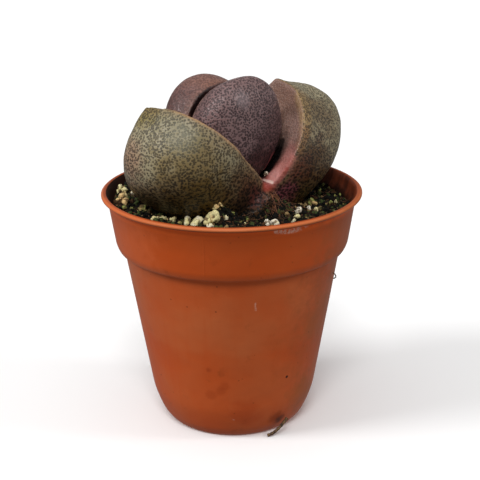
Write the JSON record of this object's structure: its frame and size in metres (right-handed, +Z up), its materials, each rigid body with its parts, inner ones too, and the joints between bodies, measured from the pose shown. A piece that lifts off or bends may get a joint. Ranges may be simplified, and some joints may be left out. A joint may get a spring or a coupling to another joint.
{
  "type": "potted split rock succulent",
  "caption": "Small split rock succulent with thick stone-like leaves, the outer ones open around almost closed inner ones, in a round tapered plastic nursery pot with a collar and rolled lip.",
  "frame": {"origin": "centre of the pot's foot, on the surface it stands on", "axes": "+Z up along the pot's axis, -Y towards the viewer of the picture, +X to that viewer's right"},
  "size_m": [0.055, 0.055, 0.0754],
  "materials": {
    "pot_plastic": "terracotta-coloured satin plastic with fine scuffs",
    "soil_mix": "damp black-brown peat with cream perlite grains",
    "outer_leaf_skin": "grey-green to purple-brown leaf skin with fine dark dots, satin",
    "inner_leaf_skin": "purple leaf skin with fine dark dots, satin",
    "root_bark": "brown fibrous bark, matte"
  },
  "bodies": {
    "root": {"pot": "pot_plastic", "soil": "soil_mix", "leaf_outer_front": "outer_leaf_skin", "leaf_outer_back": "outer_leaf_skin", "leaf_inner_front": "inner_leaf_skin", "leaf_inner_back": "inner_leaf_skin", "rootstock": "root_bark"}
  },
  "joints": []
}
